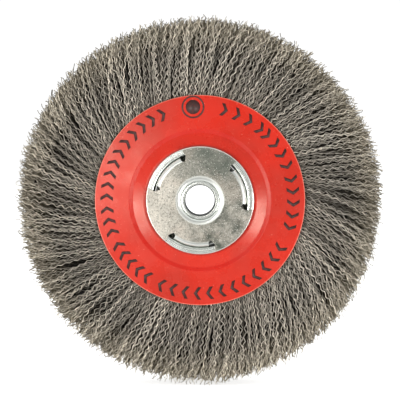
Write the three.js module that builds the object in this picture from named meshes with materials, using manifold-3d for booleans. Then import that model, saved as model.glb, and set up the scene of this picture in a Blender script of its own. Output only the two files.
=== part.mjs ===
// A crimped wire wheel brush for a bench grinder, with its pair of arbor adaptors and its reducing bush.
// The wheel turns about Y, its front faces -Y, +Z is up, and the origin is the middle of the spindle bore.
// Millimetres and degrees. An angle round the wheel runs from +X towards +Z, as seen from the front.
import * as THREE from "three";
import { mergeVertices } from "three/addons/utils/BufferGeometryUtils.js";
import Module from "manifold-3d";

const wasm = await Module();
wasm.setup();

// Wire fill
const brushDiameter = 150; // over the trimmed wire tips
const faceWidth = 20; // over the wire tips at the rim
const tipBevel = 1.2; // the trimmed rim's worn corner
const sectionCount = 24; // bundles of folded wire round the wheel

// Retaining ring that the wires are folded over
const ringWire = 4;
const foldDepth = 2.6; // wire packed inside the ring
const foldStandOff = 5.5; // from the eyelet to the folds

// Arbor eyelet: a tube through the wheel, rolled over both plates
const arborBore = 39.6;
const eyeletWall = 0.8;
const flangeWidth = 2.1; // beyond the tube's outside
const eyeletMouthRadius = 1.0; // rounds the bore's mouth

// Side plates, pressed from sheet
const plateDiameter = 88.8;
const plateThickness = 0.8;
const plateSpacing = 10; // between the two plates, at their edges
const seatMargin = 1.0; // flat seat beyond the eyelet's flange
const seatRise = 1.0; // the seat stands this much above the band
const seatSlope = 4.7; // width of the slope between seat and groove
const grooveWidth = 1.6;
const grooveDepth = 0.5;
const bandRise = 0.6; // the flat band stands this much prouder at the groove than at its edge

// Arbor adaptors, pressed from sheet
const adaptorThickness = 1.2;
const adaptorBore = 16.1;
const earInset = 0.2; // the ears end this much inside the eyelet's flange
const earDirection = 78.2; // of the first ear
const earAngle = 59; // each ear, where it leaves the disc
const earFlare = 2; // each side of an ear opens by this angle on its way out
const lipBend = 0.3; // inside of the bend between the disc and a lip
const lipDepth = 6;
const notchDepth = 2.2; // relief notch at both ends of each lip
const notchAngle = 7.5;
const collarLength = 7;
const collarMouthRadius = 1.5;
const collarShoulder = 1.2; // flat ring round the collar's rounded mouth

// Reducing bush
const spindleBore = 12.7;
const bushSetback = 0.3; // its ends sit this much below the adaptors' faces
const bushEdge = 0.4; // rounds its ends

// Clearances
const seatGap = 0.2; // between pressed metal pieces that bear on each other
const wireGap = 0.3; // between wire bundles, and from them to the ring and the plates
const slidingGap = 0.1; // on the radius, where a piece pushes in and pulls out

const ears = 3;
const turnSteps = 48; // facets round each turned piece
const bendSteps = 4; // facets in each rounded bend
const wireSides = 8; // facets round the ring's wire

// What follows from the sizes above. "Out" is a distance from the wheel's middle plane.
const bandEdgeOut = plateSpacing / 2 + plateThickness;
const bandOut = bandEdgeOut + bandRise;
const seatOut = bandOut + seatRise;
const eyeletOut = seatOut + seatGap + eyeletWall;
const faceOut = eyeletOut + seatGap + adaptorThickness;

const eyeletRadius = arborBore / 2 + eyeletWall;
const flangeRadius = eyeletRadius + flangeWidth;
const seatRadius = flangeRadius + seatMargin;
const grooveRadius = seatRadius + seatSlope;
const bandRadius = grooveRadius + grooveWidth; // where the groove ends and the band begins
const plateRadius = plateDiameter / 2;

const foldThickness = foldDepth + wireGap + ringWire / 2; // from the middle of the ring's wire
const ringRadius = eyeletRadius + foldStandOff + foldThickness;

const lipOuter = arborBore / 2 - slidingGap;
const lipStart = lipOuter - lipBend - adaptorThickness; // where the flat disc ends and the bend begins
const collarRadius = adaptorBore / 2;
const bushRadius = collarRadius - slidingGap;

const radians = THREE.MathUtils.degToRad;

// Points on an arc in a profile, both ends included. Its angles run from +radius towards out.
function arc(radius, out, size, from, to, steps = bendSteps) {
  return Array.from({ length: steps + 1 }, (_, i) => {
    const angle = radians(from + ((to - from) * i) / steps);
    return [radius + size * Math.cos(angle), out + size * Math.sin(angle)];
  });
}

// A round section in a profile, centred on the middle plane.
const section = (radius, size) => arc(radius, 0, size, 0, 360, wireSides).slice(1);

// A profile's front half with its mirror image behind the middle plane.
const bothSides = (front) => [...front, ...front.map(([radius, out]) => [radius, -out]).reverse()];

// A closed profile of [radius, out] pairs turned once about the wheel's axis, in either order.
function turned(profile) {
  const points = profile.map(([radius, out]) => new THREE.Vector2(radius, -out));
  if (THREE.ShapeUtils.area(points) < 0) points.reverse();
  return new THREE.LatheGeometry([...points, points[0].clone()], turnSteps);
}

// A flat outline in the wheel's plane, made thick from one distance out to another.
function slab(shape, fromOut, toOut) {
  const geometry = new THREE.ExtrudeGeometry(shape, { depth: toOut - fromOut, bevelEnabled: false });
  return geometry.rotateX(Math.PI / 2).translate(0, -fromOut, 0);
}

function polar(radius, degrees) {
  return [radius * Math.cos(radians(degrees)), radius * Math.sin(radians(degrees))];
}

// A wedge of the wheel about a direction, its sides set in from the two radial planes.
function wedge(direction, angle, setIn) {
  const reach = brushDiameter;
  const apex = setIn / Math.sin(radians(angle / 2));
  const [shiftX, shiftZ] = polar(apex, direction);
  const sides = [direction - angle / 2, direction + angle / 2].map((side) => polar(reach, side));
  const corners = [[0, 0], ...sides].map(([x, z]) => new THREE.Vector2(x + shiftX, z + shiftZ));
  return slab(new THREE.Shape(corners), -reach, reach);
}

// A geometry as a solid that can be joined and cut.
function solid(geometry) {
  const bare = geometry.clone();
  bare.deleteAttribute("normal");
  bare.deleteAttribute("uv");
  const merged = mergeVertices(bare, 1e-4);
  return new wasm.Manifold(
    new wasm.Mesh({
      numProp: 3,
      vertProperties: new Float32Array(merged.attributes.position.array),
      triVerts: new Uint32Array(merged.index.array),
    }),
  );
}

function geometryOf(made) {
  const { vertProperties, triVerts } = made.getMesh();
  return new THREE.BufferGeometry()
    .setAttribute("position", new THREE.BufferAttribute(vertProperties, 3))
    .setIndex(new THREE.BufferAttribute(triVerts, 1));
}

function mesh(name, geometry, material) {
  const made = new THREE.Mesh(geometry, material);
  made.name = name;
  return made;
}

// A piece in front, and the same piece turned round behind.
function pair(frontName, rearName, geometry, material) {
  const rear = mesh(rearName, geometry, material);
  rear.rotation.z = Math.PI;
  return [mesh(frontName, geometry, material), rear];
}

const enamel = new THREE.MeshStandardMaterial({ color: 0xe2352d, roughness: 0.3, metalness: 0 });
const wire = new THREE.MeshStandardMaterial({ color: 0x777066, roughness: 0.45, metalness: 0.9 });
const zinc = new THREE.MeshStandardMaterial({ color: 0xaeb0a8, roughness: 0.42, metalness: 0.9 });
const brightZinc = new THREE.MeshStandardMaterial({ color: 0xd6dbd6, roughness: 0.22, metalness: 1 });

// The plate's inner face on the band, at a radius.
function bandInside(radius) {
  const share = (plateRadius - radius) / (plateRadius - bandRadius);
  return plateSpacing / 2 + bandRise * share;
}

// The pressed side plate: a slightly leaning band, a shallow groove, and a raised flat seat round the hub.
function sidePlate() {
  const outside = [
    [eyeletRadius + seatGap, seatOut],
    [seatRadius, seatOut],
    [(seatRadius + grooveRadius) / 2, (seatOut + bandOut) / 2],
    [grooveRadius, bandOut - grooveDepth],
    [bandRadius, bandOut],
    [plateRadius, bandEdgeOut],
  ];
  const inside = outside.map(([radius, out]) => [radius, out - plateThickness]);
  return turned([...outside, ...inside.reverse()]);
}

function arborEyelet() {
  const bore = arborBore / 2;
  const edge = eyeletWall / 2;
  return turned(bothSides([
    [eyeletRadius, seatOut + seatGap],
    ...arc(flangeRadius - edge, eyeletOut - edge, edge, -90, 90),
    ...arc(bore + eyeletMouthRadius, eyeletOut - eyeletMouthRadius, eyeletMouthRadius, 90, 180),
  ].reverse()));
}

// The adaptor's flat blank: three ears, a relief notch at each side of an ear, and between the ears
// the edges that the lips are bent from. Its middle is open for the collar.
function adaptorBlank() {
  const pitch = 360 / ears;
  const side = earAngle / 2;
  const notchRoot = lipOuter - notchDepth;
  const shape = new THREE.Shape();
  for (let ear = 0; ear < ears; ear++) {
    const middle = earDirection + pitch * ear;
    const earTip = [radians(middle - side - earFlare), radians(middle + side + earFlare)];
    const lipEnds = [radians(middle + side + notchAngle), radians(middle + pitch - side - notchAngle)];
    shape.absarc(0, 0, flangeRadius - earInset, ...earTip, false);
    shape.lineTo(...polar(lipOuter, middle + side));
    shape.lineTo(...polar(notchRoot, middle + side + notchAngle / 2));
    shape.absarc(0, 0, lipStart, ...lipEnds, false);
    shape.lineTo(...polar(notchRoot, middle + pitch - side - notchAngle / 2));
    shape.lineTo(...polar(lipOuter, middle + pitch - side));
  }
  const opening = collarRadius + collarMouthRadius + collarShoulder / 2;
  shape.holes.push(new THREE.Path().absarc(0, 0, opening, 0, 2 * Math.PI));
  return solid(slab(shape, faceOut - adaptorThickness, faceOut));
}

// The ring that the three lips are parts of, with enough of the disc to join them to it.
function lipRing() {
  const bend = lipBend + adaptorThickness;
  const inner = lipOuter - adaptorThickness;
  const foot = faceOut - lipDepth;
  const root = lipStart - adaptorThickness / 2;
  return solid(turned([
    [root, faceOut],
    ...arc(lipStart, faceOut - bend, bend, 90, 0),
    [lipOuter, foot],
    [inner, foot],
    [inner, faceOut - bend],
    [root, faceOut - adaptorThickness],
  ]));
}

// The tube drawn inwards from the disc, with a rounded mouth.
function collar() {
  const mouth = collarRadius + collarMouthRadius;
  const foot = faceOut - collarLength;
  const inside = faceOut - adaptorThickness;
  return solid(turned([
    [collarRadius, foot],
    ...arc(mouth, faceOut - collarMouthRadius, collarMouthRadius, 180, 90),
    [mouth + collarShoulder, faceOut],
    [mouth + collarShoulder, inside],
    [collarRadius + adaptorThickness, inside],
    [collarRadius + adaptorThickness, foot],
  ]));
}

function arborAdaptor() {
  const pitch = 360 / ears;
  const lipAngle = pitch - earAngle - 2 * notchAngle;
  const ring = lipRing();
  let made = adaptorBlank().add(collar());
  for (let lip = 0; lip < ears; lip++) {
    const cutter = wedge(earDirection + pitch * (lip + 0.5), lipAngle, 0);
    made = made.add(ring.intersect(solid(cutter)));
  }
  return geometryOf(made);
}

function reducingBush() {
  const end = faceOut - bushSetback;
  const bore = spindleBore / 2;
  const edge = Math.min(bushEdge, (bushRadius - bore) / 4);
  return turned(bothSides([
    ...arc(bore + edge, end - edge, edge, 180, 90, 2),
    ...arc(bushRadius - edge, end - edge, edge, 90, 0, 2),
  ]));
}

// The wire fill as one body: folded round the ring, gripped by the plates' grooves, and spread to the rim.
function wireFill() {
  const rim = brushDiameter / 2;
  const gripOut = bandOut - grooveDepth - plateThickness - wireGap;
  const fold = arc(0, 0, 1, 180, 90).map(([x, y]) => [ringRadius + foldThickness * x, gripOut * y]);
  const shoulder = ringRadius + foldThickness;
  const outline = bothSides([
    ...fold.slice(1),
    [shoulder, bandInside(shoulder) - wireGap],
    [plateRadius + wireGap, bandInside(plateRadius) - wireGap],
    [rim - tipBevel, faceWidth / 2],
    [rim, faceWidth / 2 - tipBevel],
  ]);
  const tunnel = turned(section(ringRadius, ringWire / 2 + wireGap));
  return solid(turned([fold[0], ...outline])).subtract(solid(tunnel));
}

// The fill's bundles, named clockwise from the top as seen from the front.
function wireSections() {
  const fill = wireFill();
  const pitch = 360 / sectionCount;
  return Array.from({ length: sectionCount }, (_, i) => {
    const cutter = wedge(90 - pitch * i, pitch, wireGap / 2);
    const name = "wire_section_" + String(i + 1).padStart(2, "0");
    return mesh(name, geometryOf(fill.intersect(solid(cutter))), wire);
  });
}

const wheel = new THREE.Group();
wheel.add(
  ...pair("front_plate", "rear_plate", sidePlate(), enamel),
  mesh("arbor_eyelet", arborEyelet(), zinc),
  mesh("retaining_ring", turned(section(ringRadius, ringWire / 2)), wire),
  ...wireSections(),
);

const hub = new THREE.Group();
hub.add(
  ...pair("front_adaptor", "rear_adaptor", arborAdaptor(), zinc),
  mesh("reducing_bush", reducingBush(), brightZinc),
);

const brush = new THREE.Group();
brush.add(wheel, hub);

export default brush;
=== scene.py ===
"""A crimped wire wheel brush for a bench grinder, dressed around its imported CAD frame.

Lengths are metres. The wheel turns about Y, its front faces -Y and +Z is up. An angle round the wheel runs
from +X towards +Z, as seen from the front, and "out" is a distance from the wheel's middle plane.
"""

import math

import bmesh
import bpy
import numpy as np
from bpy.props import FloatProperty, FloatVectorProperty, IntProperty, PointerProperty
from mathutils import Matrix, Vector


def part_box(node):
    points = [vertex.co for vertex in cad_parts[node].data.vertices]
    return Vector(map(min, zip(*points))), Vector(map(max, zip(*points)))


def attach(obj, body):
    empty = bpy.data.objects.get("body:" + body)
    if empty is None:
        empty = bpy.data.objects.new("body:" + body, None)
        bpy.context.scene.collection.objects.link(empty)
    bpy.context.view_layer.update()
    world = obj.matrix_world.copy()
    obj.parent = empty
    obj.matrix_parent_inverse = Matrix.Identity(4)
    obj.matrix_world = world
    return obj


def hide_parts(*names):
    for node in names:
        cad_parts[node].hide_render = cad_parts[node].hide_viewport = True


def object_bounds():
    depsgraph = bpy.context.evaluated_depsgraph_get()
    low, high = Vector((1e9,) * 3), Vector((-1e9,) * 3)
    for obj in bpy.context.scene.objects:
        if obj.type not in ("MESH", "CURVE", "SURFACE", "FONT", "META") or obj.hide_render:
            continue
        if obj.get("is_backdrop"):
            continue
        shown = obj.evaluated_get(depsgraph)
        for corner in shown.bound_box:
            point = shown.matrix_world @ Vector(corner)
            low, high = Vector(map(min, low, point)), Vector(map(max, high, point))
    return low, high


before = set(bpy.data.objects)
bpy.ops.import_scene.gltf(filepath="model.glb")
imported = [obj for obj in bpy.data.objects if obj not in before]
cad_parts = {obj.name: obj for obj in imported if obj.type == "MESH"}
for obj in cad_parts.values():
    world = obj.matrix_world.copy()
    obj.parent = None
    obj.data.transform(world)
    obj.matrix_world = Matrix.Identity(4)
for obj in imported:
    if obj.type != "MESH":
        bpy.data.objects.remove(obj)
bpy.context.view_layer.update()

bl_info = {
    "name": "Wire Wheel Brush",
    "version": (1, 0, 0),
    "blender": (4, 5, 0),
    "location": "View3D > Sidebar > Wire Wheel",
    "description": "Builds a crimped wire wheel brush for a bench grinder, with its adaptors and bush",
    "category": "Object",
}

MM = 0.001
CENTRE, AXIS = (0, 0, 0), (0, 1, 0)
FRONT, REAR = 1, -1
TURN_STEPS = 144  # facets round each turned piece
BEND_STEPS = 5  # facets in each rounded bend
SHARP = math.radians(40)  # edges that turn more than this aren't smoothed
NEARLY = 0.01 * MM  # places closer than this count as the same


# ---- Sizes taken from the frame ----


def reach(node):
    """The largest distance of a CAD node from the wheel's axis."""
    return max(math.hypot(v.co.x, v.co.z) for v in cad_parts[node].data.vertices)


def inner_reach(node):
    """The smallest distance of a CAD node from the wheel's axis."""
    return min(math.hypot(v.co.x, v.co.z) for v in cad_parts[node].data.vertices)


def outs(node):
    """How far out a front CAD node's inner and outer faces lie."""
    low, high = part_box(node)
    return -high.y, -low.y


SECTIONS = sorted(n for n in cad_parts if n.startswith("wire_section_"))
PLATE_BORE, PLATE_RADIUS = inner_reach("front_plate"), reach("front_plate")
PLATE_INNER_OUT, SEAT_OUT = outs("front_plate")
EYELET_BORE, FLANGE_RADIUS = inner_reach("arbor_eyelet"), reach("arbor_eyelet")
EYELET_OUT = outs("arbor_eyelet")[1]
COLLAR_BORE, EAR_RADIUS = inner_reach("front_adaptor"), reach("front_adaptor")
COLLAR_FOOT_OUT, FACE_OUT = outs("front_adaptor")
SPINDLE_BORE, BUSH_RADIUS = inner_reach("reducing_bush"), reach("reducing_bush")
BUSH_OUT = outs("reducing_bush")[1]
RING_INNER, RING_OUTER = inner_reach("retaining_ring"), reach("retaining_ring")
RING_RADIUS = (RING_INNER + RING_OUTER) / 2
RIM = reach(SECTIONS[0])
RIM_OUT = outs(SECTIONS[0])[1]

# The sides of the adaptors that are painted lighter, as if lit, and darker, as if shaded, as directions
LIT_SIDE = (-1, 0, 0.08)
SHADED_SIDE = (0.26, 0, 0.97)


def linear(code):
    """An sRGB colour, written #rrggbb, as linear red, green, blue and a full alpha."""
    channels = [int(code[i : i + 2], 16) / 255 for i in (1, 3, 5)]
    return (*[c / 12.92 if c <= 0.04045 else ((c + 0.055) / 1.055) ** 2.4 for c in channels], 1)


# ---- Settings ----


def length(name, description, millimetres):
    return FloatProperty(
        name=name, description=description, default=millimetres * MM, unit="LENGTH", precision=5
    )


def angle(name, description, degrees):
    return FloatProperty(name=name, description=description, default=math.radians(degrees), subtype="ANGLE")


def colour(name, description, code):
    return FloatVectorProperty(
        name=name, description=description, default=linear(code), size=4, min=0, max=1, subtype="COLOR"
    )


class PlateSettings(bpy.types.PropertyGroup):
    """The pressed side plates and the marks printed on the front one"""

    thickness: length("Sheet", "Thickness of the pressed sheet", 0.8)
    seat_margin: length("Seat margin", "Flat seat beyond the eyelet's flange", 1.0)
    seat_slope: length("Slope", "Width of the slope between the seat and the groove", 4.7)
    groove_width: length("Groove width", "Width of the groove's outer side", 1.6)
    groove_depth: length("Groove depth", "Depth of the groove below the band", 0.5)
    band_rise: length("Band rise", "How much prouder the band stands at the groove than at its edge", 0.6)
    enamel: colour("Enamel", "Red of the sprayed enamel", "#ab1e10")
    # Painted highlight: the pale colour of the line round the plate's edge
    edge_highlight: colour("Edge highlight", "Pale enamel painted on as a highlight round the edge", "#f7a28c")
    mark_radius: length("Mark radius", "Middle of the printed marks, from the axis", 39.4)
    mark_height: length("Mark height", "Radial height of one printed mark", 5.3)
    mark_stroke: length("Mark stroke", "Width of a printed stroke", 0.85)
    mark_pitch: angle("Mark pitch", "Angle from one printed mark to the next", 7.4)
    mark_ink: length("Ink", "How proud the printed ink stands", 0.05)
    ink: colour("Ink colour", "Colour of the printed marks", "#2b110d")


class HubSettings(bpy.types.PropertyGroup):
    """The rolled eyelet, the eared adaptors and the reducing bush"""

    eyelet_wall: length("Eyelet wall", "Thickness of the eyelet's tube and flanges", 0.8)
    sheet: length("Adaptor sheet", "Thickness of the adaptors' sheet", 1.2)
    ear_direction: angle("Ear direction", "Direction of the front adaptor's first ear", 78.2)
    ear_angle: angle("Ear width", "Angle of an ear where it leaves the disc", 59)
    ear_flare: angle("Ear flare", "How much each side of an ear opens on its way out", 2)
    notch_angle: angle("Notch width", "Angle of the relief notch at each end of a lip", 7.5)
    notch_depth: length("Notch depth", "Depth of the relief notches", 2.2)
    lip_bend: length("Lip bend", "Inside radius of the bend between the disc and a lip", 0.3)
    lip_depth: length("Lip depth", "How deep the lips reach below the face", 6)
    lip_clearance: length("Lip clearance", "Between a lip and the eyelet's bore", 0.3)
    mouth: length("Collar mouth", "Width of the roll round the collar's mouth", 1.85)
    mouth_depth: length("Mouth depth", "Depth of the roll round the collar's mouth", 0.9)
    bright: colour("Bright zinc", "Bright zinc plate on the eyelet and the bush", "#f3f7f2")
    dull: colour("Dull zinc", "Dull patches of the adaptors' zinc plate", "#575b53")
    pale: colour("Pale zinc", "Pale patches of the adaptors' zinc plate", "#d2cdc2")


class WireSettings(bpy.types.PropertyGroup):
    """The crimped wire fill"""

    diameter: length("Wire", "Diameter of the drawn wire", 0.28)
    wave: length("Crimp pitch", "Length of one wave of the crimp", 3.5)
    crimp: length("Crimp height", "How far the crimp swings to each side", 0.55)
    step: length("Step", "Length of one facet along a wire", 0.85)
    hairpins: IntProperty(
        name="Hairpins", description="Wires folded over the ring in each bundle", default=98, min=1
    )
    tips: IntProperty(
        name="Tips", description="Further wires that show only at the rim, in each bundle", default=230
    )
    layer: length("Layer", "Depth of the wires that show at each face", 2.0)
    lean: angle("Lean", "How far the wires lean back from the radius", 15)
    lean_change: angle("Lean change", "How much more they lean on two opposite sides of the wheel", 8)
    lean_side: angle("Lean side", "Direction of the side where they lean most", 145)
    stray_lean: angle("Stray lean", "How much one wire's lean differs from the next one's", 6)
    dark: colour("Dark wire", "Darkest of the drawn wires", "#110e0a")
    pale: colour("Pale wire", "Palest of the drawn wires", "#fff7e8")
    # Painted shade: the near-black of the packed wire below the wires that show
    core: colour("Core", "Packed wire deep in the fill", "#120f0b")


class StageSettings(bpy.types.PropertyGroup):
    """The floor, the lights and the camera"""

    view_distance: length("Distance", "From the camera to the wheel's middle plane", 420)
    view_height: angle("Elevation", "Of the camera above the wheel's axis", 1)
    view_width: length("View width", "Width of the picture where the front of the rim stands", 167.1)
    floor: colour("Floor", "Lit white acrylic", "#f2f2f0")


# ---- Shapes ----


def rounded(corners, steps=BEND_STEPS):
    """A closed profile of (radius, out) points, from corners of (radius, out, bend radius)."""
    points = []
    for i, (radius, out, bend) in enumerate(corners):
        corner = Vector((radius, out, 0))
        back = (Vector((*corners[i - 1][:2], 0)) - corner).normalized()
        ahead = (Vector((*corners[(i + 1) % len(corners)][:2], 0)) - corner).normalized()
        half = back.angle(ahead) / 2
        middle = corner + (back + ahead).normalized() * bend / math.sin(half)
        first = (corner + back * bend / math.tan(half) - middle).normalized()
        last = (corner + ahead * bend / math.tan(half) - middle).normalized()
        points += [(middle + first.slerp(last, n / steps) * bend)[:2] for n in range(steps + 1)]
    return points


def both_faces(front):
    """A profile's front half with its mirror image behind the middle plane."""
    return [*front, *[(radius, -out, bend) for radius, out, bend in reversed(front)]]


def chain(shape, points, closed):
    """Vertices joined in a line, at (radius, out) points in the direction of +X."""
    verts = [shape.verts.new((radius, -out, 0)) for radius, out in points]
    ends = verts[1:] + verts[:1] if closed else verts[1:]
    return verts, [shape.edges.new(pair) for pair in zip(verts, ends)]


def turn_about_axis(shape):
    """Turns a shape's one closed outline once about the wheel's axis."""
    outline = shape.verts[:] + shape.edges[:]
    bmesh.ops.spin(
        shape, geom=outline, cent=CENTRE, axis=AXIS, angle=math.tau, steps=TURN_STEPS, use_merge=True
    )
    bmesh.ops.recalc_face_normals(shape, faces=shape.faces)


def turned(points, side=FRONT):
    """A closed profile of (radius, out) points, turned once about the wheel's axis."""
    shape = bmesh.new()
    chain(shape, [(radius, out * side) for radius, out in points], True)
    turn_about_axis(shape)
    return shape


def verts_in(parts):
    """The vertices among a bmesh operator's results."""
    return [part for part in parts if isinstance(part, bmesh.types.BMVert)]


def finished(name, shape, body, material, replaced=(), even=True):
    """A shape as a smooth, shaded object that rides on a body and stands for CAD nodes."""
    mesh = bpy.data.meshes.new(name)
    shape.to_mesh(mesh)
    shape.free()
    return placed(name, mesh, body, material, replaced, even)


def placed(name, mesh, body, material, replaced=(), even=True):
    """A mesh as a smooth, shaded object that rides on a body and stands for CAD nodes."""
    mesh.shade_smooth()
    mesh.materials.clear()
    mesh.materials.append(material)
    made = bpy.data.objects.new(name, mesh)
    bpy.context.scene.collection.objects.link(made)
    if even:
        mesh.set_sharp_from_angle(angle=SHARP)
        modifier(made, "Even shading", "WEIGHTED_NORMAL", keep_sharp=True)
    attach(made, body)
    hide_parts(*replaced)
    return made


def modifier(made, name, kind, **settings):
    added = made.modifiers.new(name, kind)
    for key, value in settings.items():
        setattr(added, key, value)
    return added


# ---- Materials ----

# The Mix node's sockets for colours
SHARE, UNDER, OVER = 0, 6, 7


def add(tree, kind, inputs=None, **settings):
    """Adds a shader node with its settings. An input, named or numbered, is a value, another node's socket,
    or a node, which stands for its first live output."""
    made = tree.nodes.new("ShaderNode" + kind)
    for key, value in settings.items():
        setattr(made, key, value)
    for key, value in (inputs or {}).items():
        if isinstance(value, bpy.types.Node):
            value = next(socket for socket in value.outputs if socket.enabled)
        if isinstance(value, bpy.types.NodeSocket):
            tree.links.new(value, made.inputs[key])
        else:
            made.inputs[key].default_value = value
    return made


def blank(name):
    """A material with no nodes, its tree, and the place on the piece that its patterns follow."""
    made = bpy.data.materials.new(name)
    made.use_nodes = True
    made.node_tree.nodes.clear()
    return made, made.node_tree, add(made.node_tree, "TexCoord").outputs["Object"]


def per(millimetres):
    """A texture's scale for a pattern of this real size."""
    return 1 / (millimetres * MM)


def from_axis(tree, where):
    """Distance of a place from the wheel's axis."""
    flat = add(tree, "VectorMath", {0: where, 1: (1, 0, 1)}, operation="MULTIPLY")
    return add(tree, "VectorMath", {0: flat}, operation="LENGTH").outputs["Value"]


def sprayed_red_enamel(settings):
    """Gloss enamel sprayed on pressed steel: an even hot red with a soft sheen, faint orange peel and a few
    dust specks, with painted shade as a deeper red in the groove, a painted shadow against the flange, and
    a painted highlight as a pale line round the plate's edge."""
    made, tree, where = blank("sprayed_red_gloss_enamel")
    radius = from_axis(tree, where)
    cloud = add(tree, "TexNoise", {"Vector": where, "Scale": per(24), "Detail": 3})
    share = add(tree, "MapRange", {0: cloud, 1: 0.42, 2: 0.62, 4: 0.6})
    mix = {SHARE: share, UNDER: settings.enamel, OVER: linear("#941f14")}
    tone = add(tree, "Mix", mix, data_type="RGBA")

    dust = add(tree, "TexNoise", {"Vector": where, "Scale": per(0.55), "Detail": 1})
    share = add(tree, "MapRange", {0: dust, 1: 0.74, 2: 0.79, 4: 0.5})
    tone = add(tree, "Mix", {SHARE: share, UNDER: tone, OVER: linear("#f59a86")}, data_type="RGBA")
    scuffs = add(tree, "TexNoise", {"Vector": where, "Scale": per(2.6), "Detail": 4})
    share = add(tree, "MapRange", {0: scuffs, 1: 0.66, 2: 0.78, 4: 0.4})
    tone = add(tree, "Mix", {SHARE: share, UNDER: tone, OVER: linear("#9c1712")}, data_type="RGBA")

    # Painted shade: a deeper red across the groove
    groove = groove_radius(settings) + settings.groove_width / 2
    beside = add(tree, "Math", {0: radius, 1: groove}, operation="SUBTRACT")
    beside = add(tree, "Math", {0: beside}, operation="ABSOLUTE")
    share = add(tree, "MapRange", {0: beside, 1: 0.5 * MM, 2: 1.4 * MM, 3: 0.45, 4: 0})
    tone = add(tree, "Mix", {SHARE: share, UNDER: tone, OVER: linear("#a50f0e")}, data_type="RGBA")
    # Painted shadow: a dark red line on the seat against the eyelet's flange
    start, end = FLANGE_RADIUS + 0.2 * MM, FLANGE_RADIUS + 0.9 * MM
    share = add(tree, "MapRange", {0: radius, 1: start, 2: end, 3: 0.6, 4: 0})
    tone = add(tree, "Mix", {SHARE: share, UNDER: tone, OVER: linear("#7d100c")}, data_type="RGBA")
    # Painted highlight: a pale line round the plate's edge
    start, end = PLATE_RADIUS - 0.4 * MM, PLATE_RADIUS - 0.1 * MM
    share = add(tree, "MapRange", {0: radius, 1: start, 2: end, 4: 0.5})
    tone = add(tree, "Mix", {SHARE: share, UNDER: tone, OVER: settings.edge_highlight}, data_type="RGBA")

    sheen = add(tree, "TexNoise", {"Vector": where, "Scale": per(7), "Detail": 4})
    rough = add(tree, "MapRange", {0: sheen, 1: 0.3, 2: 0.7, 3: 0.22, 4: 0.34})
    peel = add(tree, "TexNoise", {"Vector": where, "Scale": per(1.3), "Detail": 1})
    relief = add(tree, "Bump", {"Height": peel, "Distance": 0.012 * MM})
    inputs = {"Base Color": tone, "Roughness": rough, "Normal": relief, "IOR": 1.5}
    inputs |= {"Specular IOR Level": 0.4, "Specular Tint": (1, 0.97, 0.84, 1)}
    add(tree, "OutputMaterial", {"Surface": add(tree, "BsdfPrincipled", inputs)})
    return made


def screen_print_ink(settings):
    """Screen-printed black ink on red: a brownish black film, thinner in places, with a satin face."""
    made, tree, where = blank("screen_print_ink")
    film = add(tree, "TexNoise", {"Vector": where, "Scale": per(0.9), "Detail": 3})
    share = add(tree, "MapRange", {0: film, 1: 0.45, 2: 0.75, 4: 0.3})
    tone = add(tree, "Mix", {SHARE: share, UNDER: settings.ink, OVER: linear("#7a1d16")}, data_type="RGBA")
    mesh_marks = add(tree, "TexNoise", {"Vector": where, "Scale": per(0.5), "Detail": 3})
    rough = add(tree, "MapRange", {0: mesh_marks, 1: 0.3, 2: 0.7, 3: 0.4, 4: 0.6})
    shader = add(tree, "BsdfPrincipled", {"Base Color": tone, "Roughness": rough})
    add(tree, "OutputMaterial", {"Surface": shader})
    return made


def bright_zinc_plate(settings):
    """Bright zinc plate over a turned or rolled surface: silver, with the tool's fine rings round the axis,
    and painted shade that darkens the bore and its rounded edge."""
    made, tree, where = blank("bright_zinc_plate_turned")
    radius = from_axis(tree, where)
    along = add(tree, "SeparateXYZ", {0: where}).outputs["Y"]
    across = add(tree, "Math", {0: radius, 1: along}, operation="ADD")
    # Tool marks are about 0.05 mm apart on the real piece and are drawn at 0.3 mm, so that they show
    rings = add(tree, "TexNoise", {"W": across, "Scale": per(0.3)}, noise_dimensions="1D")
    cloud = add(tree, "TexNoise", {"Vector": where, "Scale": per(2.4), "Detail": 3})
    share = add(tree, "MapRange", {0: cloud, 1: 0.35, 2: 0.7, 4: 0.5})
    mix = {SHARE: share, UNDER: settings.bright, OVER: linear("#bfc6bf")}
    tone = add(tree, "Mix", mix, data_type="RGBA")
    share = add(tree, "MapRange", {0: rings, 1: 0.55, 2: 0.7, 4: 0.3})
    tone = add(tree, "Mix", {SHARE: share, UNDER: tone, OVER: linear("#a7aea7")}, data_type="RGBA")
    # Painted shade inside the bore and on its rounded edge
    start, end = SPINDLE_BORE + 0.2 * MM, SPINDLE_BORE + 0.5 * MM
    share = add(tree, "MapRange", {0: radius, 1: start, 2: end, 3: 0.92, 4: 0})
    tone = add(tree, "Mix", {SHARE: share, UNDER: tone, OVER: linear("#4a4f4a")}, data_type="RGBA")
    rough = add(tree, "MapRange", {0: rings, 1: 0.3, 2: 0.7, 3: 0.2, 4: 0.36})
    relief = add(tree, "Bump", {"Height": rings, "Distance": 0.01 * MM})
    inputs = {"Base Color": tone, "Roughness": rough, "Normal": relief, "Metallic": 1}
    add(tree, "OutputMaterial", {"Surface": add(tree, "BsdfPrincipled", inputs)})
    return made


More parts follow.
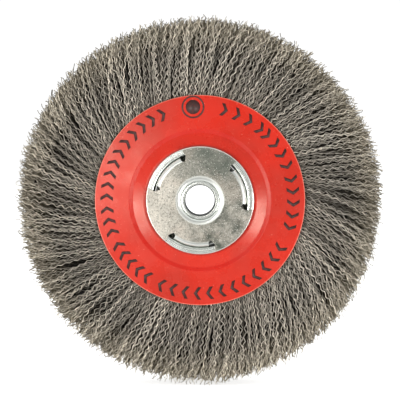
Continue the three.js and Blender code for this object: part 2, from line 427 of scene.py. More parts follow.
def dull_zinc_plate(settings):
    """Barrel zinc plate on pressed sheet, handled and clamped: patchy grey and warm silver with a salt and
    pepper grain, with painted light on one side and painted shade towards the top, and the collar's mouth,
    the bends and the ears' rims painted bright as a highlight, and a little smoother there."""
    made, tree, where = blank("dull_zinc_plate_pressed")
    patches = add(tree, "TexNoise", {"Vector": where, "Scale": per(8), "Detail": 4, "Roughness": 0.6})
    patches = add(tree, "MapRange", {0: patches, 1: 0.38, 2: 0.68})
    tone = add(tree, "Mix", {SHARE: patches, UNDER: settings.dull, OVER: settings.pale}, data_type="RGBA")

    # Painted light: paler on one side, as where the light falls
    toward = add(tree, "VectorMath", {0: where, 1: LIT_SIDE}, operation="DOT_PRODUCT").outputs["Value"]
    share = add(tree, "MapRange", {0: toward, 1: -2 * MM, 2: 14 * MM, 4: 0.65})
    tone = add(tree, "Mix", {SHARE: share, UNDER: tone, OVER: linear("#dad4c9")}, data_type="RGBA")
    # Painted shade: darker towards the top
    toward = add(tree, "VectorMath", {0: where, 1: SHADED_SIDE}, operation="DOT_PRODUCT").outputs["Value"]
    share = add(tree, "MapRange", {0: toward, 1: 2 * MM, 2: 16 * MM, 4: 0.75})
    tone = add(tree, "Mix", {SHARE: share, UNDER: tone, OVER: linear("#676d65")}, data_type="RGBA")

    warmth = add(tree, "TexNoise", {"Vector": where, "Scale": per(10)})
    share = add(tree, "MapRange", {0: warmth, 1: 0.5, 2: 0.65, 4: 0.3})
    tone = add(tree, "Mix", {SHARE: share, UNDER: tone, OVER: linear("#c4b7aa")}, data_type="RGBA")
    grain = add(tree, "TexNoise", {"Vector": where, "Scale": per(0.6)})
    share = add(tree, "MapRange", {0: grain, 1: 0.48, 2: 0.68, 4: 0.6})
    tone = add(tree, "Mix", {SHARE: share, UNDER: tone, OVER: linear("#51554d")}, data_type="RGBA")
    nicks = add(tree, "TexNoise", {"Vector": where, "Scale": per(0.45), "Detail": 1})
    share = add(tree, "MapRange", {0: nicks, 1: 0.64, 2: 0.72, 4: 0.8})
    tone = add(tree, "Mix", {SHARE: share, UNDER: tone, OVER: linear("#f0efe8")}, data_type="RGBA")

    # Painted highlight on the collar's mouth, the bends and the ears' rims, which are also a little
    # smoother
    painted_highlight = add(tree, "Attribute", attribute_name="painted_highlight").outputs["Fac"]
    share = add(tree, "MapRange", {0: painted_highlight, 1: 0.25, 2: 0.9, 4: 0.85})
    tone = add(tree, "Mix", {SHARE: share, UNDER: tone, OVER: settings.bright}, data_type="RGBA")
    rough = add(tree, "MapRange", {0: patches, 3: 0.52, 4: 0.36})
    rough = add(tree, "Mix", {0: share, 2: rough, 3: 0.3})
    relief = add(tree, "Bump", {"Height": grain, "Distance": 0.02 * MM, "Strength": 0.6})
    inputs = {"Base Color": tone, "Roughness": rough, "Normal": relief, "Metallic": 1}
    add(tree, "OutputMaterial", {"Surface": add(tree, "BsdfPrincipled", inputs)})
    return made


def crimped_steel_wire(settings):
    """Cold-drawn carbon steel wire, crimped and lightly oiled: each wire has its own grey-brown tone, with
    painted shade that darkens the deeper wires and painted glints along each crimp wave, and the wires grow
    a little paler and warmer towards the rim."""
    made, tree, where = blank("drawn_crimped_steel_wire")
    own = add(tree, "Attribute", attribute_name="wire_tone").outputs["Fac"]
    tone = add(tree, "Mix", {SHARE: own, UNDER: settings.dark, OVER: settings.pale}, data_type="RGBA")
    stain = add(tree, "TexNoise", {"Vector": where, "Scale": per(1.6), "Detail": 3})
    share = add(tree, "MapRange", {0: stain, 1: 0.45, 2: 0.75, 4: 0.5})
    tone = add(tree, "Mix", {SHARE: share, UNDER: tone, OVER: linear("#4b443a")}, data_type="RGBA")
    # Paler and warmer over the last 14 mm to the rim
    share = add(tree, "MapRange", {0: from_axis(tree, where), 1: RIM - 14 * MM, 2: RIM, 4: 0.25})
    tone = add(tree, "Mix", {SHARE: share, UNDER: tone, OVER: linear("#c9bd9f")}, data_type="RGBA")
    rough = add(tree, "MapRange", {0: own, 3: 0.55, 4: 0.4})
    shader = add(tree, "BsdfPrincipled", {"Base Color": tone, "Roughness": rough, "Metallic": 1})
    add(tree, "OutputMaterial", {"Surface": shader})
    return made


def packed_wire(settings):
    """The fill below the wires that show: wire packed so close that light hardly reaches it, streaked along
    the radius."""
    made, tree, where = blank("packed_wire_in_shadow")
    parts = add(tree, "SeparateXYZ", {0: where}).outputs
    turn = add(tree, "Math", {0: parts["Z"], 1: parts["X"]}, operation="ARCTAN2")
    across = add(tree, "Math", {0: turn, 1: RIM}, operation="MULTIPLY")
    along = add(tree, "Math", {0: from_axis(tree, where), 1: 0.2}, operation="MULTIPLY")
    strand = add(tree, "CombineXYZ", {0: across, 1: along})
    streaks = add(tree, "TexNoise", {"Vector": strand, "Scale": per(0.6)})
    share = add(tree, "MapRange", {0: streaks, 1: 0.4, 2: 0.7})
    tone = add(tree, "Mix", {SHARE: share, UNDER: linear("#0b0906"), OVER: settings.core}, data_type="RGBA")
    rough = add(tree, "MapRange", {0: streaks, 1: 0.3, 2: 0.7, 3: 0.9, 4: 0.65})
    shader = add(tree, "BsdfPrincipled", {"Base Color": tone, "Roughness": rough, "Metallic": 0.4})
    add(tree, "OutputMaterial", {"Surface": shader})
    return made


def lit_white_acrylic(settings):
    """A sheet of opal acrylic lit from below: an even near-white that takes only a faint shadow."""
    made, tree, where = blank("lit_opal_acrylic")
    haze = add(tree, "TexNoise", {"Vector": where, "Scale": per(60), "Detail": 3})
    share = add(tree, "MapRange", {0: haze, 4: 0.1})
    white = linear("#ffffff")
    tone = add(tree, "Mix", {SHARE: share, UNDER: settings.floor, OVER: white}, data_type="RGBA")
    inputs = {"Base Color": tone, "Emission Color": white, "Emission Strength": 0.75}
    add(tree, "OutputMaterial", {"Surface": add(tree, "BsdfPrincipled", inputs)})
    return made


# ---- The side plates and their print ----


def band_out(settings, radius):
    """How far out the plate's face is on its band, at a radius."""
    edge = PLATE_INNER_OUT + settings.thickness
    start = band_start(settings)
    return edge + settings.band_rise * (PLATE_RADIUS - radius) / (PLATE_RADIUS - start)


def band_start(settings):
    return groove_radius(settings) + settings.groove_width


def groove_radius(settings):
    return FLANGE_RADIUS + settings.seat_margin + settings.seat_slope


def plate_profile(settings):
    """The pressed sheet's section: a flat seat, a slope, a groove and a slightly leaning band."""
    seat_end = FLANGE_RADIUS + settings.seat_margin
    groove_out = band_out(settings, band_start(settings)) - settings.groove_depth
    face = [
        (PLATE_BORE, SEAT_OUT, 0.15 * MM),
        (seat_end, SEAT_OUT, 3 * MM),
        (groove_radius(settings), groove_out, 0.7 * MM),
        (band_start(settings), band_out(settings, band_start(settings)), 0.8 * MM),
        (PLATE_RADIUS, band_out(settings, PLATE_RADIUS), 0.35 * MM),
    ]
    thick = settings.thickness
    back = [(radius, out - thick, min(bend, 0.6 * MM)) for radius, out, bend in reversed(face)]
    return rounded(face + back)


class WHEEL_OT_side_plates(bpy.types.Operator):
    """Press the two red side plates that grip the wire"""

    bl_idname = "wheel.side_plates"
    bl_label = "Side plates"

    def execute(self, context):
        settings = context.scene.wheel_plate
        enamel = sprayed_red_enamel(settings)
        for side, name in ((FRONT, "front"), (REAR, "rear")):
            shape = turned(plate_profile(settings), side)
            finished(f"{name}_side_plate", shape, "wheel", enamel, [f"{name}_plate"])
        return {"FINISHED"}


# The printed runs, from one angle to another, clockwise, in degrees
PRINTED_RUNS = ((235.5, 209), (200, 186), (178, 114), (75, 50), (44.5, 21.8), (13, -16.5), (-30.6, -114.5))
SPOT_ANGLE = 94.3
SPOT_RADIUS = 4.8 * MM
SPOT_DISC = 0.64 * SPOT_RADIUS
SPOT_STEPS = 48


def printed(shape, settings, outline, turn):
    """Ink of one flat outline of (radial, clockwise) points about the marks' radius, laid on the band."""
    ink = 2 * settings.mark_ink
    places = [(settings.mark_radius + radial, -clockwise) for radial, clockwise in outline]
    foot = [settings.mark_ink - band_out(settings, math.hypot(x, z)) for x, z in places]
    verts = [shape.verts.new((x, y, z)) for (x, z), y in zip(places, foot)]
    bottom = shape.faces.new(verts)
    top = verts_in(bmesh.ops.extrude_face_region(shape, geom=[bottom])["geom"])
    bmesh.ops.translate(shape, vec=(0, -ink, 0), verts=top)
    bmesh.ops.rotate(shape, cent=CENTRE, matrix=Matrix.Rotation(-turn, 3, "Y"), verts=verts + top)


def chevron(settings):
    """An arrow head that points clockwise."""
    high, tip = settings.mark_height / 2, settings.mark_height * 0.3
    # The strokes slant, so they are wider when measured clockwise
    stroke = settings.mark_stroke * 1.7
    return [
        (high, -tip),
        (high, stroke - tip),
        (0, tip),
        (-high, stroke - tip),
        (-high, -tip),
        (0, tip - stroke),
    ]


class WHEEL_OT_printed_marks(bpy.types.Operator):
    """Print the front plate's direction marks and its round spot"""

    bl_idname = "wheel.printed_marks"
    bl_label = "Printed marks"

    def execute(self, context):
        settings = context.scene.wheel_plate
        ink = screen_print_ink(settings)
        shape = bmesh.new()
        for start, end in PRINTED_RUNS:
            gaps = round(math.radians(start - end) / settings.mark_pitch)
            for n in range(gaps + 1):
                printed(shape, settings, chevron(settings), math.radians(start + (end - start) * n / gaps))
        bmesh.ops.recalc_face_normals(shape, faces=shape.faces)
        finished("direction_marks", shape, "wheel", ink, even=False)

        shape = bmesh.new()
        high, inner = settings.mark_ink, SPOT_RADIUS - settings.mark_stroke * 0.8
        chain(shape, [(SPOT_RADIUS, -high), (SPOT_RADIUS, high), (inner, high), (inner, -high)], True)
        turn_about_axis(shape)
        upright = Matrix.Translation((0, high, 0)) @ Matrix.Rotation(math.pi / 2, 4, "X")
        disc = bmesh.ops.create_circle(
            shape, cap_ends=True, segments=SPOT_STEPS, radius=SPOT_DISC, matrix=upright
        )
        face = list({face for vert in disc["verts"] for face in vert.link_faces})
        top = verts_in(bmesh.ops.extrude_face_region(shape, geom=face)["geom"])
        bmesh.ops.translate(shape, vec=(0, -2 * high, 0), verts=top)

        lean = math.atan2(settings.band_rise, PLATE_RADIUS - band_start(settings))
        bmesh.ops.rotate(shape, cent=CENTRE, matrix=Matrix.Rotation(lean, 3, "Z"), verts=shape.verts)
        middle = (settings.mark_radius, -band_out(settings, settings.mark_radius), 0)
        bmesh.ops.translate(shape, vec=middle, verts=shape.verts)
        turn = Matrix.Rotation(-math.radians(SPOT_ANGLE), 3, "Y")
        bmesh.ops.rotate(shape, cent=CENTRE, matrix=turn, verts=shape.verts)
        bmesh.ops.recalc_face_normals(shape, faces=shape.faces)
        finished("spot_mark", shape, "wheel", ink, even=False)
        return {"FINISHED"}


# ---- The hub ----


class WHEEL_OT_eyelet(bpy.types.Operator):
    """Roll the arbor eyelet over both plates"""

    bl_idname = "wheel.eyelet"
    bl_label = "Arbor eyelet"

    def execute(self, context):
        settings = context.scene.wheel_hub
        wall = settings.eyelet_wall
        curl = FLANGE_RADIUS - 0.5 * wall
        front = [
            (EYELET_BORE + wall, EYELET_OUT - wall, 0.2 * MM),
            (FLANGE_RADIUS, EYELET_OUT - wall, 0.3 * MM),
            (FLANGE_RADIUS, EYELET_OUT - 0.2 * wall, 0.3 * MM),
            (curl, EYELET_OUT - 0.15 * wall, 0.2 * MM),
            (curl - 0.25 * wall, EYELET_OUT, 0.3 * MM),
            (EYELET_BORE, EYELET_OUT, 0.9 * MM),
        ]
        finished(
            "rolled_eyelet",
            turned(rounded(both_faces(front[::-1]))),
            "wheel",
            bright_zinc_plate(settings),
            ["arbor_eyelet"],
        )
        return {"FINISHED"}


HIGHLIGHT_FADE = 0.7 * MM  # from an edge with painted highlight to the plain face beside it
EAR_STEPS, LIP_STEPS = 26, 22  # facets round the disc at each ear and each lip
BROKEN_EDGE = 0.16 * MM  # width that tumbling takes off the pressing's edges


def moved_out(verts, direction, radius, out, opening):
    """Moves vertices to a radius and a distance out, and opens them about a direction."""
    for vert in verts:
        turn = math.atan2(vert.co.z, vert.co.x) - direction
        turn = direction + ((turn + math.pi) % math.tau - math.pi) * opening
        vert.co = (radius * math.cos(turn), -out, radius * math.sin(turn))


def drawn_edge(shape, edges, direction, radius, out, opening):
    """Extends the sheet from some of its edges, and gives back the new edges."""
    new = bmesh.ops.extrude_edge_only(shape, edges=edges)["geom"]
    moved_out(verts_in(new), direction, radius, out, opening)
    return [e for e in new if isinstance(e, bmesh.types.BMEdge)]


def adaptor_pressing(settings):
    """The collar's bore, its mouth, the disc, three ears and three lips, drawn as one visible face and then
    given the sheet's thickness."""
    pitch = math.tau / 3
    side, notch = settings.ear_angle / 2, settings.notch_angle
    lip_outer = EYELET_BORE - settings.lip_clearance
    bend = settings.lip_bend + settings.sheet
    root = lip_outer - settings.notch_depth
    ear_part, lip_part = settings.ear_angle + notch, pitch - settings.ear_angle - notch
    mouth = COLLAR_BORE + settings.mouth

    shape = bmesh.new()
    line = [(COLLAR_BORE, COLLAR_FOOT_OUT)]
    for n in range(BEND_STEPS + 1):
        turn = math.pi - n / BEND_STEPS * math.pi / 2
        dip = settings.mouth_depth * (1 - math.sin(turn))
        line.append((mouth + settings.mouth * math.cos(turn), FACE_OUT - dip))
    line += [(mouth + HIGHLIGHT_FADE, FACE_OUT), (root, FACE_OUT)]
    verts, edges = chain(shape, line, False)
    parts = verts + edges
    first = settings.ear_direction - ear_part / 2
    bmesh.ops.rotate(shape, cent=CENTRE, matrix=Matrix.Rotation(-first, 3, "Y"), verts=verts)
    for part, steps in ((ear_part, EAR_STEPS), (lip_part, LIP_STEPS)) * 3:
        parts = bmesh.ops.spin(
            shape, geom=parts, cent=CENTRE, axis=AXIS, angle=-part, steps=steps, use_merge=False
        )["geom_last"]
    bmesh.ops.remove_doubles(shape, verts=shape.verts, dist=0.1 * NEARLY)

    open_edges = [e for e in shape.edges if e.is_boundary]
    rim = [e for e in open_edges if all(v.co.xz.length > root - NEARLY for v in e.verts)]
    for ear in range(3):
        middle = settings.ear_direction + pitch * ear
        drawn = near(rim, middle, ear_part / 2)
        drawn = drawn_edge(shape, drawn, middle, lip_outer, FACE_OUT, settings.ear_angle / ear_part)
        opened = (side + settings.ear_flare) / side
        drawn = drawn_edge(shape, drawn, middle, EAR_RADIUS - HIGHLIGHT_FADE, FACE_OUT, opened)
        drawn_edge(shape, drawn, middle, EAR_RADIUS, FACE_OUT, 1)

        middle += pitch / 2
        drawn = near(rim, middle, lip_part / 2)
        opened = (lip_part - notch) / lip_part
        drawn = drawn_edge(shape, drawn, middle, lip_outer - bend, FACE_OUT, opened)
        for n in range(1, BEND_STEPS + 1):
            turn = n / BEND_STEPS * math.pi / 2
            radius, out = lip_outer - bend * (1 - math.sin(turn)), FACE_OUT - bend * (1 - math.cos(turn))
            drawn = drawn_edge(shape, drawn, middle, radius, out, 1)
        drawn_edge(shape, drawn, middle, lip_outer, FACE_OUT - settings.lip_depth, 1)
    bmesh.ops.recalc_face_normals(shape, faces=shape.faces)
    face = max(shape.faces, key=lambda f: -f.calc_center_median().y)
    if face.normal.y > 0:
        bmesh.ops.reverse_faces(shape, faces=shape.faces)

    # Painted highlight: a share of 1 at the bends, the collar's mouth and the ears' rims
    painted_highlight = shape.verts.layers.float.new("painted_highlight")
    for vert in shape.verts:
        radius = vert.co.xz.length
        bent = FACE_OUT + vert.co.y > NEARLY or abs(radius - (lip_outer - bend)) < NEARLY
        vert[painted_highlight] = float(bent or radius < mouth + NEARLY or radius > EAR_RADIUS - NEARLY)

    # The roll round the mouth is tighter than the sheet is thick, so its back closes to one sharp corner
    back = verts_in(bmesh.ops.solidify(shape, geom=shape.faces[:], thickness=settings.sheet)["geom"])
    above_foot = COLLAR_FOOT_OUT + NEARLY
    rolled = [vert for vert in back if vert.co.xz.length < mouth and -vert.co.y > above_foot]
    moved_out(rolled, 0, COLLAR_BORE + settings.sheet, FACE_OUT - settings.sheet, 1)
    bmesh.ops.remove_doubles(shape, verts=shape.verts, dist=NEARLY)
    return shape


def near(edges, direction, reach_angle):
    """The edges whose middles lie within an angle of a direction round the wheel."""
    found = []
    for edge in edges:
        x, _, z = (edge.verts[0].co + edge.verts[1].co) / 2
        turn = (math.atan2(z, x) - direction + math.pi) % math.tau - math.pi
        if abs(turn) < reach_angle:
            found.append(edge)
    return found


class WHEEL_OT_adaptors(bpy.types.Operator):
    """Press the front and rear arbor adaptors, with their ears, lips and collars"""

    bl_idname = "wheel.adaptors"
    bl_label = "Arbor adaptors"

    def execute(self, context):
        settings = context.scene.wheel_hub
        zinc = dull_zinc_plate(settings)
        for name, turn in (("front_adaptor", 0), ("rear_adaptor", math.pi)):
            shape = adaptor_pressing(settings)
            bmesh.ops.rotate(shape, cent=CENTRE, matrix=Matrix.Rotation(turn, 3, "Z"), verts=shape.verts)
            made = finished(f"{name}_pressing", shape, name, zinc, [name], even=False)
            modifier(
                made, "Broken edges", "BEVEL", width=BROKEN_EDGE, segments=2, limit_method="ANGLE",
                angle_limit=math.radians(50), harden_normals=True,
            )
        return {"FINISHED"}


class WHEEL_OT_bush(bpy.types.Operator):
    """Turn the reducing bush that carries the spindle bore"""

    bl_idname = "wheel.bush"
    bl_label = "Reducing bush"

    def execute(self, context):
        edge = 0.4 * MM
        front = [(SPINDLE_BORE, BUSH_OUT, edge), (BUSH_RADIUS, BUSH_OUT, edge)]
        finished(
            "bush_sleeve",
            turned(rounded(both_faces(front))),
            "reducing_bush",
            bright_zinc_plate(context.scene.wheel_hub),
            ["reducing_bush"],
        )
        return {"FINISHED"}


# ---- The wire fill ----


class WHEEL_OT_retaining_ring(bpy.types.Operator):
    """Form the ring that the wires are folded over"""

    bl_idname = "wheel.retaining_ring"
    bl_label = "Retaining ring"

    def execute(self, context):
        shape = bmesh.new()
        section = bmesh.ops.create_circle(shape, segments=20, radius=(RING_OUTER - RING_INNER) / 2)["verts"]
        bmesh.ops.translate(shape, vec=(RING_RADIUS, 0, 0), verts=section)
        turn_about_axis(shape)
        wire = crimped_steel_wire(context.scene.wheel_wire)
        finished("ring_of_wire", shape, "wheel", wire, ["retaining_ring"], even=False)
        return {"FINISHED"}


def wire_core_profile():
    """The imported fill's section, just below the wires that show."""
    start, end = RING_OUTER + 1.2 * MM, RIM - 4.5 * MM
    front = [
        (start, 2.4 * MM, 0.5 * MM),
        (PLATE_RADIUS, PLATE_INNER_OUT - 3.0 * MM, 3 * MM),
        (end, RIM_OUT - 3.4 * MM, 1.5 * MM),
    ]
    return rounded(both_faces(front))


class WHEEL_OT_wire_core(bpy.types.Operator):
    """Fill the wheel below the wires that show with packed wire"""

    bl_idname = "wheel.wire_core"
    bl_label = "Packed wire core"

    def execute(self, context):
        core = packed_wire(context.scene.wheel_wire)
        finished("packed_wire_core", turned(wire_core_profile()), "wheel", core)
        return {"FINISHED"}


# Waves round the wheel and their height at the rim, in mm, by which the wires gather into clumps
CLUMPS = ((3, 0.5), (7, 0.4), (13, 0.2), (29, 0.07), (47, 0.06), (83, 0.05))
GRIPPED_END = PLATE_RADIUS - 3 * MM  # radius at which the plates let go of the wires
GRIPPED_OUT = PLATE_INNER_OUT - 0.9 * MM  # how far out the gripped wires lie
TIPS_OUT = RIM_OUT - 0.6 * MM  # how far out the wires end at the rim
PROUD_SHARE = 0.2  # share of the wires that stand proud of the trim
FOLD_ANGLES = np.radians(np.linspace(100, 260, 5))  # round the retaining ring, from the front to the rear
LAYER_STEP = 0.618  # share of a layer's depth from one wire to the next, so that neighbours lie apart


def clumps(turn, side):
    """How far a wire of one face is drawn aside at the rim, by where it leaves the ring."""
    return sum(
        height * MM * math.sin(waves * turn + waves * waves * (1.3 + side)) for waves, height in CLUMPS
    )


def wire_leg(settings, rng, turn, side, start, end, depth):
    """Points of one wire from a start radius to its tip, crimped, leaning back and spreading to the rim.
    Each has its radius, bearing, distance out and the strength of its painted glint."""
    free = max(start, GRIPPED_END)
    radius = np.linspace(free, end, max(4, round((end - free) / settings.step)) + 1)
    if start < free:
        radius = np.concatenate([np.linspace(start, free, 3)[:-1], radius])
    share = np.clip((radius - PLATE_RADIUS) / (RIM - PLATE_RADIUS), 0, 1.1)
    out = side * (GRIPPED_OUT + (TIPS_OUT - GRIPPED_OUT) * share**0.9 - depth)

    mean_lean = settings.lean + settings.lean_change * math.cos(2 * (turn - settings.lean_side))
    lean = mean_lean + rng.normal(0, settings.stray_lean) * share
    freed = np.log(np.maximum(radius / GRIPPED_END, 1))
    centred = math.tan(mean_lean) * math.log(RIM / GRIPPED_END) / 2
    bearing = turn + centred - np.tan(lean) * freed + clumps(turn, side) / RIM * share**1.4

    waves = math.tau * (radius / (settings.wave * rng.normal(1, 0.06)) + rng.random())
    height = settings.crimp * rng.normal(1, 0.2) * np.clip((radius - GRIPPED_END) / (3 * MM), 0, 1)
    swing = height * np.sin(waves)
    plane = rng.normal(0, 0.9)
    # Painted glint: one side of every wave is brighter, as where the crimp catches the light
    bright = 0.5 + 0.5 * np.sin(waves + math.tau * rng.random())
    bearing = bearing + swing * math.cos(plane) / radius
    return np.column_stack([radius, bearing, out + swing * math.sin(plane), bright])


def tip_radius(rng):
    """Where a trimmed wire ends. A few stand proud of the rest."""
    if rng.random() < PROUD_SHARE:
        return RIM + rng.uniform(0.5, 2.8) * MM
    return RIM + rng.normal(0.1, 0.6) * MM


def hairpin(settings, rng, turn, depth):
    """One wire folded over the retaining ring, from its front tip round the ring to its rear tip. Its depth
    runs from 0, at the face, to 1, at the bottom of the layer that shows."""
    legs = []
    start, below = RING_RADIUS + 3 * MM, depth * settings.layer
    for side in (FRONT, REAR):
        leaves = turn + rng.normal(0, 0.004)
        legs.append(wire_leg(settings, rng, leaves, side, start, tip_radius(rng), below))
    front, rear = legs
    size = RING_OUTER - RING_RADIUS + 0.3 * MM + (1 - depth) * 2 * MM
    radius, out = RING_RADIUS + size * np.cos(FOLD_ANGLES), size * np.sin(FOLD_ANGLES)
    bearing = np.linspace(front[0, 1], rear[0, 1], len(FOLD_ANGLES))
    fold = np.column_stack([radius, bearing, out, np.zeros_like(out)])
    return np.vstack([front[::-1], fold, rear])


def rim_tip(settings, rng, turn, depth):
    """The outer end of one of the wires inside the fill, which shows only at the rim. Its depth runs from
    0, at the face, to 1, at the wheel's middle plane."""
    end = tip_radius(rng)
    side = rng.choice((FRONT, REAR))
    start = end - rng.uniform(7.5, 10.5) * MM
    return wire_leg(settings, rng, turn, side, start, end, depth * TIPS_OUT)


def in_frame(points):
    """The X, Y and Z of points given by radius, bearing and distance out."""
    radius, bearing, out = points.T[:3]
    return np.column_stack([radius * np.cos(bearing), -out, radius * np.sin(bearing)])


OUTLINE_SIDES = 3
SEAM = 0.0005 * MM  # the caps and the tubes meet within this


def wire_outline(diameter):
    """The triangle that is swept along each wire. Its sides are about as long as the wire is thick."""
    outline = bpy.data.curves.new("wire_outline", "CURVE")
    outline.dimensions = "2D"
    spline = outline.splines.new("POLY")
    spline.points.add(OUTLINE_SIDES - 1)
    radius = 1.2 * diameter / 2
    for n, point in enumerate(spline.points):
        turn = -math.tau * n / OUTLINE_SIDES
        point.co = (radius * math.cos(turn), radius * math.sin(turn), 0, 1)
    spline.use_cyclic_u = True
    made = bpy.data.objects.new("wire_outline", outline)
    bpy.context.scene.collection.objects.link(made)
    return made


def swept_wires(name, wires, tones, outline):
    """One closed tube along each wire's points, as a mesh that knows the tone at each point."""
    curve = bpy.data.curves.new(name, "CURVE")
    curve.dimensions = "3D"
    curve.bevel_mode, curve.bevel_object, curve.use_fill_caps = "OBJECT", outline, True
    for points in wires:
        spline = curve.splines.new("POLY")
        spline.points.add(len(points) - 1)
        spline.points.foreach_set("co", np.column_stack([in_frame(points), np.ones(len(points))]).ravel())
    swept = bpy.data.objects.new(name, curve)
    bpy.context.scene.collection.objects.link(swept)
    mesh = bpy.data.meshes.new_from_object(swept.evaluated_get(bpy.context.evaluated_depsgraph_get()))
    bpy.data.objects.remove(swept)
    # The caps come first, from the last wire to the first, and then the tubes in the wires' own order
    caps = [np.repeat(own[[0, -1]], OUTLINE_SIDES) for own in reversed(tones)]
    values = np.concatenate(caps + [np.repeat(own, OUTLINE_SIDES) for own in tones])
    mesh.attributes.new("wire_tone", "FLOAT", "POINT").data.foreach_set("value", values.astype(np.float32))
    shape = bmesh.new()
    shape.from_mesh(mesh)
    bmesh.ops.remove_doubles(shape, verts=shape.verts, dist=SEAM)
    shape.to_mesh(mesh)
    shape.free()
    for layer in list(mesh.uv_layers):
        mesh.uv_layers.remove(layer)
    return mesh


class WHEEL_OT_wire_bundles(bpy.types.Operator):
    """Fold, crimp and trim the wires of every bundle"""

    bl_idname = "wheel.wire_bundles"
    bl_label = "Wire bundles"

    def execute(self, context):
        settings = context.scene.wheel_wire
        steel = crimped_steel_wire(settings)
        outline = wire_outline(settings.diameter)
        pitch = math.tau / len(SECTIONS)
        for i, section in enumerate(SECTIONS):
            rng = np.random.default_rng(i + 1)
            low = math.pi / 2 - pitch * (i + 0.5)
            order = np.arange(settings.hairpins)
            pins = low + pitch * (order + rng.random(len(order))) / len(order)
            tips = low + pitch * rng.random(settings.tips)
            layers = (order * LAYER_STEP + 0.15 * rng.random(len(order))) % 1
            depths = np.concatenate([layers, rng.random(len(tips))])
            wires = [hairpin(settings, rng, turn, depth) for turn, depth in zip(pins, depths)]
            wires += [rim_tip(settings, rng, turn, depth) for turn, depth in zip(tips, depths[len(pins) :])]
            # Painted shade: the wires that lie deeper are darker
            depth_shade = np.repeat((0.95, 0.45), (len(pins), len(tips))) * depths
            shaded_tone = rng.uniform(0.55, 1.4, len(wires)) * (1 - depth_shade) ** 3
            # Each wire's tone, with painted glint along each crimp wave from the points' fourth column
            tones = [own * (0.6 + 0.3 * points[:, 3]) for own, points in zip(shaded_tone, wires)]
            mesh = swept_wires(f"wire_bundle_{i + 1:02d}", wires, tones, outline)
            placed(mesh.name, mesh, "wheel", steel, [section], even=False)
        bpy.data.objects.remove(outline)
        return {"FINISHED"}


# ---- The stage ----


def softbox(name, direction, from_axis_angle, distance, size, power, tint):
    """A square light aimed at the wheel. Its direction round the axis is as seen from the front."""
    light = bpy.data.lights.new(name, "AREA")
    light.shape, light.size, light.energy, light.color = "SQUARE", size, power, tint
    made = bpy.data.objects.new(name, light)
    bpy.context.scene.collection.objects.link(made)
    turn, off = math.radians(direction), math.radians(from_axis_angle)
    toward = Vector((math.sin(off) * math.cos(turn), -math.cos(off), math.sin(off) * math.sin(turn)))
    place = toward * distance
    made.matrix_world = Matrix.Translation(place) @ place.to_track_quat("Z", "Y").to_matrix().to_4x4()
    return made


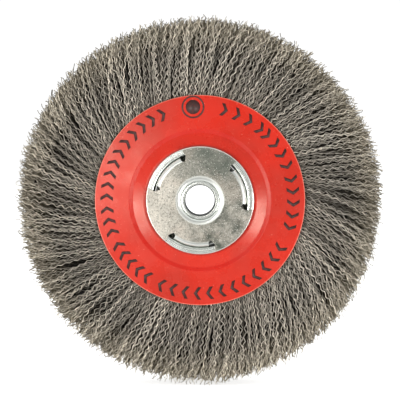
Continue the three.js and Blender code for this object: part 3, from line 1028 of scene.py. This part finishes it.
class WHEEL_OT_stage(bpy.types.Operator):
    """Stand the wheel on a white floor in soft light, and place the camera"""

    bl_idname = "wheel.stage"
    bl_label = "Stage"

    def execute(self, context):
        settings = context.scene.wheel_stage
        scene = context.scene
        floor = bmesh.new()
        bmesh.ops.create_circle(floor, cap_ends=True, segments=64, radius=30)
        bmesh.ops.translate(floor, vec=(0, 0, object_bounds()[0].z - 0.2 * MM), verts=floor.verts)
        mesh = bpy.data.meshes.new("floor")
        floor.to_mesh(mesh)
        floor.free()
        mesh.materials.append(lit_white_acrylic(settings))
        made = bpy.data.objects.new("floor", mesh)
        scene.collection.objects.link(made)
        made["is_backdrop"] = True

        # The floor doesn't shade or mirror, so that the low softboxes reach the wheel from below its level
        made.visible_shadow = made.visible_glossy = False

        softbox("left_softbox", 193, 40, 0.6, 0.22, 1.9, (1, 0.97, 0.93))
        softbox("right_softbox", -17, 41, 0.6, 0.2, 1.9, (1, 0.98, 0.95))
        softbox("near_softbox", 165, 14, 0.6, 0.1, 0.45, (1, 0.97, 0.93))

        world = bpy.data.worlds.new("studio")
        world.use_nodes = True
        tree = world.node_tree
        tree.nodes.clear()
        sky = add(tree, "TexCoord").outputs["Generated"]
        toward = add(tree, "SeparateXYZ", {0: sky}).outputs["Y"]
        off_axis = add(tree, "Math", {0: toward}, operation="ABSOLUTE")
        tent = add(tree, "MapRange", {0: off_axis, 1: 0.6, 2: 0.92, 3: 1, 4: 0.2})
        fill = add(tree, "Background", {"Strength": tent})
        seen = add(tree, "Background", {"Strength": 1.05})
        for light in (fill, seen):
            light.inputs["Color"].default_value = linear("#ffffff")
        by_camera = add(tree, "LightPath").outputs["Is Camera Ray"]
        shown = add(tree, "MixShader", {0: by_camera, 1: fill, 2: seen})
        add(tree, "OutputWorld", {"Surface": shown})
        scene.world = world
        scene.view_settings.view_transform = "Standard"

        camera = bpy.data.cameras.new("camera")
        camera.sensor_width = 36
        camera.lens = camera.sensor_width * (settings.view_distance - RIM_OUT) / settings.view_width
        view = bpy.data.objects.new("camera", camera)
        scene.collection.objects.link(view)
        high = settings.view_height
        back = Vector((0, -math.cos(high), math.sin(high)))
        aim = back.to_track_quat("Z", "Y").to_matrix().to_4x4()
        view.matrix_world = Matrix.Translation(back * settings.view_distance) @ aim
        scene.camera = view
        return {"FINISHED"}


# ---- The panel ----

OPERATORS = (
    WHEEL_OT_side_plates,
    WHEEL_OT_printed_marks,
    WHEEL_OT_eyelet,
    WHEEL_OT_adaptors,
    WHEEL_OT_bush,
    WHEEL_OT_retaining_ring,
    WHEEL_OT_wire_core,
    WHEEL_OT_wire_bundles,
    WHEEL_OT_stage,
)
SETTINGS = {
    "wheel_plate": PlateSettings,
    "wheel_hub": HubSettings,
    "wheel_wire": WireSettings,
    "wheel_stage": StageSettings,
}


class WHEEL_PT_panel(bpy.types.Panel):
    """Lists the pieces of the wheel"""

    bl_idname = "WHEEL_PT_panel"
    bl_label = "Wire Wheel Brush"
    bl_space_type = "VIEW_3D"
    bl_region_type = "UI"
    bl_category = "Wire Wheel"

    def draw(self, context):
        for operator in OPERATORS:
            self.layout.operator(operator.bl_idname)


def register():
    for made in (*SETTINGS.values(), *OPERATORS, WHEEL_PT_panel):
        bpy.utils.register_class(made)
    for name, group in SETTINGS.items():
        setattr(bpy.types.Scene, name, PointerProperty(type=group))


def unregister():
    for name in SETTINGS:
        delattr(bpy.types.Scene, name)
    for made in reversed((*SETTINGS.values(), *OPERATORS, WHEEL_PT_panel)):
        bpy.utils.unregister_class(made)


def main():
    register()
    for operator in OPERATORS:
        group, name = operator.bl_idname.split(".")
        getattr(getattr(bpy.ops, group), name)()


if __name__ == "__main__":
    main()
